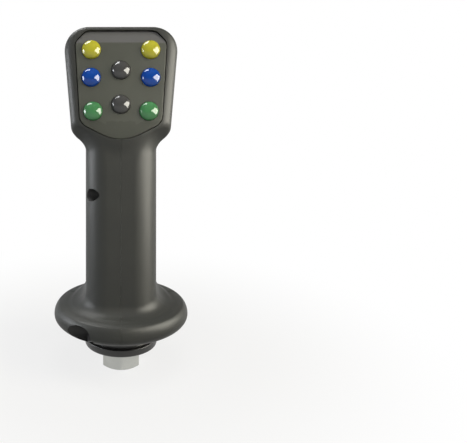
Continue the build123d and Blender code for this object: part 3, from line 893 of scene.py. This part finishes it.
def triggerProfile():
    # slightly crowned top, a quarter-round rim, and the rest
    cap = triggerCap
    flat = cap["radius"] - cap["rim"]
    reach = np.linspace(0, flat, cap["crownRows"])
    crown = np.column_stack([reach, cap["top"] - cap["crown"] * (reach / flat) ** 2])
    angle = np.linspace(0, pi / 2, cap["rimRows"])[1:]
    base = cap["top"] - cap["crown"] - cap["rim"]
    rim = np.column_stack([flat + cap["rim"] * np.sin(angle), base + cap["rim"] * np.cos(angle)])
    return np.concatenate([crown, rim, stemProfile(cap)])


triggerPiece = turned("triggerCap", triggerProfile(), backFrame, (0, triggerHole["along"]))
finishPiece(triggerPiece, "trigger", triggerAbs, ["trigger_button"])
print("trigger made")


# Boot collar: a turned ring with rounded edges and a round-bottomed groove, on the hexagon's upper face

adapterHeight = 13.7        # of the hexagon

bootCollar = {
    "radius": 22.0,
    "bore": 12.0,
    "lowerRing": 4.8,  # heights of the lower ring, the groove and the upper ring
    "groove": 4.0,
    "upperRing": 4.0,
    "grooveDepth": 2.4,
    "edge": 1.4,
    "grooveEdge": 0.5,
    "grooveBottom": 1.4,
}


def collarProfile():
    # closed outline of the ring's section, with an arc at each of its outer and groove corners
    ring = bootCollar
    low = adapterHeight
    first = low + ring["lowerRing"]
    second = first + ring["groove"]
    top = second + ring["upperRing"]
    deep = ring["radius"] - ring["grooveDepth"]
    return roundedOutline([
        (ring["bore"], low, 0),
        (ring["radius"], low, ring["edge"]),
        (ring["radius"], first, ring["grooveEdge"]),
        (deep, first, ring["grooveBottom"]),
        (deep, second, ring["grooveBottom"]),
        (ring["radius"], second, ring["grooveEdge"]),
        (ring["radius"], top, ring["edge"]),
        (ring["bore"], top, 0),
    ], steps=6)


collarPiece = turned("bootCollar", collarProfile(), columns=144)
finishPiece(collarPiece, "grip", collarNylon, ["boot_collar"])
print("collar made")


# Steel adapter: chamfered hexagon, threaded bore below and cable bore above

adapter = {
    "acrossFlats": 22.0,
    "cornerKept": 0.985,       # share of a hexagon's corner left when its edges are broken
    "columns": 144,
    "cornerStep": 0.012,       # and one on each side of a corner, this far off in radians
    "chamfer": 30.0,           # of the lower face, in degrees, from a circle this far inside
    "chamferInset": 0.3,       # the flats
    "chamferRise": 1.7,
    "chamferRows": 12,
    "shank": 12.0,
    "clampFlats": 30.0,
    "clamp": (30.0, 36.0),     # heights of the hexagon between the shells
    "cableBore": 5.0,
    "threadMinor": 6.0,
    "threadMajor": 7.0,
    "threadPitch": 2.0,
    "threadEnd": 20.0,
    "threadMouth": 1.1,        # chamfer at the start of the thread
    "threadFade": (0.2, 1.5),  # the thread runs out this far below its end, over this length
    "threadRows": 130,
    "ridge": (1.15, 2.6),      # height of the thread's form at its crest, fall for each turn
}


def hexRadius(turn, acrossFlats):
    # distance from the axis to a hexagon's side in each direction, less at its broken corners
    within = np.mod(turn + pi / 6, pi / 3) - pi / 6
    return np.minimum(acrossFlats / 2 / np.cos(within), acrossFlats / sqrt(3) * adapter["cornerKept"])


def adapterSurface():
    # rows follow a profile up the outside, in over the top, and down the bores; the hexagon is held
    # inside a chamfer cone, and the thread is a ridge that climbs one pitch in each turn
    part = adapter
    corners = np.arange(6) * pi / 3 + pi / 6
    beside = part["cornerStep"]
    even = np.linspace(0, 2 * pi, part["columns"], endpoint=False)
    turn = np.sort(np.concatenate([even, corners - beside, corners + beside]))
    hexagon = hexRadius(turn, part["acrossFlats"])
    flat = part["acrossFlats"] / 2 - part["chamferInset"]
    rows = []
    chamferHeights = np.linspace(0.02, part["chamferRise"], part["chamferRows"])
    for height in [0, *chamferHeights, adapterHeight - 0.01]:
        cone = flat + height / tan(radians(part["chamfer"]))
        rows.append((np.minimum(hexagon, cone), height))
    low, high = part["clamp"]
    end = part["threadEnd"]
    minor, major = part["threadMinor"], part["threadMajor"]
    clampHexagon = hexRadius(turn, part["clampFlats"])
    rows += [
        (hexagon * 0.999, adapterHeight), (part["shank"], adapterHeight), (part["shank"], low),
        (clampHexagon, low), (clampHexagon, high), (part["cableBore"], high),
        (part["cableBore"], end), (minor, end),
    ]
    runOut, fadeLength = part["threadFade"]
    crest, fall = part["ridge"]
    for height in np.linspace(end - runOut, part["threadMouth"] + runOut, part["threadRows"]):
        phase = np.mod(height / part["threadPitch"] - turn / (2 * pi), 1.0)
        ridge = np.clip(crest - fall * np.abs(phase - 0.5), 0, 1)
        fade = min(1.0, (end - runOut - height) / fadeLength)
        rows.append((minor + (major - minor) * ridge * fade, height))
    rows += [(major + 0.05, part["threadMouth"]), (major + part["threadMouth"], 0), rows[0]]
    radius = np.array([row[0] * np.ones(len(turn)) for row in rows])
    height = np.array([row[1] * np.ones(len(turn)) for row in rows])
    points = np.stack([radius * np.cos(turn), radius * np.sin(turn), height], axis=-1)
    return meshObject("hexAdapter", points.reshape(-1, 3), gridFaces(*points.shape[:2]))


adapterPiece = adapterSurface()
finishPiece(adapterPiece, "grip", zincSteel, ["hex_adapter"], sharpFrom=25)
print("adapter made")


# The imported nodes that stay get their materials

nodeMaterials = {
    "faceplate_gasket": sealRubber,
    "circuit_board": boardLaminate,
    "board_screws": blackSteel,
    "board_connector": guideAcetal,
    "trigger_guide": guideAcetal,
    "trigger_switch": switchNylon,
    "large_shell_screws": blackSteel,
    "small_shell_screws": blackSteel,
    "large_inserts": insertBrass,
    "small_inserts": insertBrass,
}
for name in buttonPlaces:
    nodeMaterials["switch_" + name] = switchNylon
for name, material in nodeMaterials.items():
    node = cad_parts[name]
    node.data.materials.clear()
    node.data.materials.append(material)
print("packed nodes finished")


# Floor, backdrop, lamps and camera

studio = {
    "floorSize": 3.0,                 # metres, like all lengths here
    "floorColour": "#b4b4b2",
    "fade": (0.06, 0.22),             # between these distances from the grip the floor turns white
    "shadowKept": 0.2,                # share of the shadow that shows beside the grip
    "skyLevel": 0.3,
    "skyColour": "#f6f7f8",
    "whiteSweep": (0.05, 0.3),        # gloss sees white that fades out between these sines of height
    "softboxAim": (0.0, 0.01, 0.17),  # the corners below are counted from here
    "softboxes": [
        # name, strength, colour, four corners
        ("windowRight", 22.0, "#fffbef",
         [(0.12, -0.30, 0.13), (0.34, -0.09, 0.27), (0.44, 0.17, 0.03), (0.27, -0.08, -0.11)]),
        ("stripBehind", 19.0, "#ffffff",
         [(-0.34, 0.12, 0.30), (-0.26, 0.28, 0.30), (-0.05, 0.28, 0.42), (-0.11, 0.01, 0.49)]),
        ("stripLeft", 22.0, "#f7faff",
         [(-0.36, -0.12, 0.05), (-0.35, 0.05, 0.10), (-0.32, 0.12, 0.0), (-0.35, 0.03, -0.10)]),
        ("panelAbove", 0.5, "#ffffff",
         [(-0.30, -0.30, 0.42), (0.30, -0.30, 0.42), (0.30, 0.05, 0.60), (-0.30, 0.05, 0.60)]),
    ],
    "lamps": [
        # name, place, height it aims at, size, power, colour; gloss doesn't show them
        ("frontFill", (-0.35, -0.95, 0.85), 0.12, 0.7, 3.8, "#ffffff"),
        ("lampAbove", (0.05, -0.20, 1.20), 0.05, 0.6, 4.5, "#ffffff"),
        ("lampRight", (0.72, -0.32, 0.66), 0.12, 0.5, 7.5, "#fff6df"),
        ("lampLeft", (-0.85, -0.10, 0.35), 0.14, 0.4, 2.0, "#f2f6ff"),
    ],
}


def floorMaterial():
    # pale floor that turns white away from the object, and near it keeps part of the shadow
    material, tree = emptyMaterial("studioFloor")
    place = addNode(tree, "ShaderNodeTexCoord").outputs["Object"]
    distance = addNode(tree, "ShaderNodeVectorMath", {"operation": "LENGTH"}, {0: place}).outputs["Value"]
    near = addNode(tree, "ShaderNodeMapRange", {"interpolation_type": "SMOOTHSTEP"}, {
        "Value": distance, "From Min": studio["fade"][0], "From Max": studio["fade"][1],
        "To Min": studio["shadowKept"], "To Max": 0.0,
    }).outputs["Result"]
    diffuse = addNode(tree, "ShaderNodeBsdfDiffuse", None, {"Color": linearColour(studio["floorColour"])})
    white = addNode(tree, "ShaderNodeEmission", None, {"Color": (1, 1, 1, 1), "Strength": 1.0})
    rays = addNode(tree, "ShaderNodeLightPath").outputs
    unseen = 1.0
    for ray in ("Is Camera Ray", "Is Glossy Ray", "Is Transmission Ray"):
        less = addNode(tree, "ShaderNodeMath", {"operation": "SUBTRACT"}, {0: unseen, 1: rays[ray]})
        unseen = less.outputs[0]
    share = addNode(tree, "ShaderNodeMath", {"operation": "MAXIMUM"}, {0: unseen, 1: near}).outputs[0]
    mix = addNode(tree, "ShaderNodeMixShader", None, {
        0: share, 1: white.outputs[0], 2: diffuse.outputs[0],
    })
    addNode(tree, "ShaderNodeOutputMaterial", None, {"Surface": mix.outputs[0]})
    return material


floorCorners = np.array([(-1, -1, 0), (1, -1, 0), (1, 1, 0), (-1, 1, 0)]) * studio["floorSize"] / 2
floor = meshObject("studioFloor", floorCorners / millimetre, [[0, 1, 2, 3]])
floor.data.materials.append(floorMaterial())

world = bpy.data.worlds.new("studioWorld")
world.use_nodes = True
bpy.context.scene.world = world
sky = world.node_tree
sky.nodes.clear()
rays = addNode(sky, "ShaderNodeLightPath").outputs
looking = addNode(sky, "ShaderNodeTexCoord").outputs["Generated"]
height = addNode(sky, "ShaderNodeSeparateXYZ", None, {0: looking}).outputs["Z"]
sweep = addNode(sky, "ShaderNodeMapRange", {"interpolation_type": "SMOOTHSTEP"}, {
    "Value": height, "From Min": studio["whiteSweep"][0], "From Max": studio["whiteSweep"][1],
    "To Min": 1.0, "To Max": 0.0,
}).outputs["Result"]
gloss = addNode(sky, "ShaderNodeMath", {"operation": "MULTIPLY"}, {0: rays["Is Glossy Ray"], 1: sweep})
seen = addNode(sky, "ShaderNodeMath", {"operation": "MAXIMUM"}, {
    0: rays["Is Camera Ray"], 1: rays["Is Transmission Ray"],
})
seen = addNode(sky, "ShaderNodeMath", {"operation": "MAXIMUM"}, {0: seen.outputs[0], 1: gloss.outputs[0]})
dim = addNode(sky, "ShaderNodeBackground", None, {
    "Color": linearColour(studio["skyColour"]), "Strength": studio["skyLevel"],
})
bright = addNode(sky, "ShaderNodeBackground", None, {"Color": (1, 1, 1, 1), "Strength": 1.0})
mix = addNode(sky, "ShaderNodeMixShader", None, {
    0: seen.outputs[0], 1: dim.outputs[0], 2: bright.outputs[0],
})
addNode(sky, "ShaderNodeOutputWorld", None, {"Surface": mix.outputs[0]})


def softbox(name, strength, colour, corners):
    # a glowing panel of four corners that shows in the grip's gloss, not to the camera
    panel = meshObject(name, (np.array(corners) + studio["softboxAim"]) / millimetre, [[0, 1, 2, 3]])
    material, tree = emptyMaterial(name)
    glow = addNode(tree, "ShaderNodeEmission", None, {"Color": linearColour(colour), "Strength": strength})
    addNode(tree, "ShaderNodeOutputMaterial", None, {"Surface": glow.outputs[0]})
    panel.data.materials.append(material)
    panel.visible_camera = False
    panel.visible_diffuse = False
    panel.visible_shadow = False


for panel in studio["softboxes"]:
    softbox(*panel)

for name, place, aimHeight, size, power, colour in studio["lamps"]:
    lamp = bpy.data.lights.new(name, "AREA")
    lamp.size = size
    lamp.energy = power
    lamp.color = linearColour(colour)[:3]
    holder = bpy.data.objects.new(name, lamp)
    bpy.context.scene.collection.objects.link(holder)
    holder.location = place
    holder.rotation_euler = (Vector((0, 0, aimHeight)) - Vector(place)).to_track_quat("-Z", "Y").to_euler()
    holder.visible_glossy = False

cameraView = {
    "place": (0.0, -0.4568, 0.2369),
    "pitch": 15.43,        # degrees down
    "shiftRight": 112.5,   # of the picture's middle from straight ahead, in picture points
    "shiftDown": 31.5,
    "focalPoints": 809.4,  # focal length in picture points
    "pictureWidth": 467,
    "sensor": 36.0,
}
lens = bpy.data.cameras.new("photoCamera")
lens.sensor_width = cameraView["sensor"]
lens.lens = cameraView["focalPoints"] / cameraView["pictureWidth"] * cameraView["sensor"]
lens.shift_x = cameraView["shiftRight"] / cameraView["pictureWidth"]
lens.shift_y = -cameraView["shiftDown"] / cameraView["pictureWidth"]
lens.clip_start = 0.01
camera = bpy.data.objects.new("photoCamera", lens)
bpy.context.scene.collection.objects.link(camera)
camera.location = cameraView["place"]
camera.rotation_euler = (radians(90 - cameraView["pitch"]), 0, 0)
bpy.context.scene.camera = camera
bpy.context.scene.view_settings.view_transform = "Standard"
print("studio made")
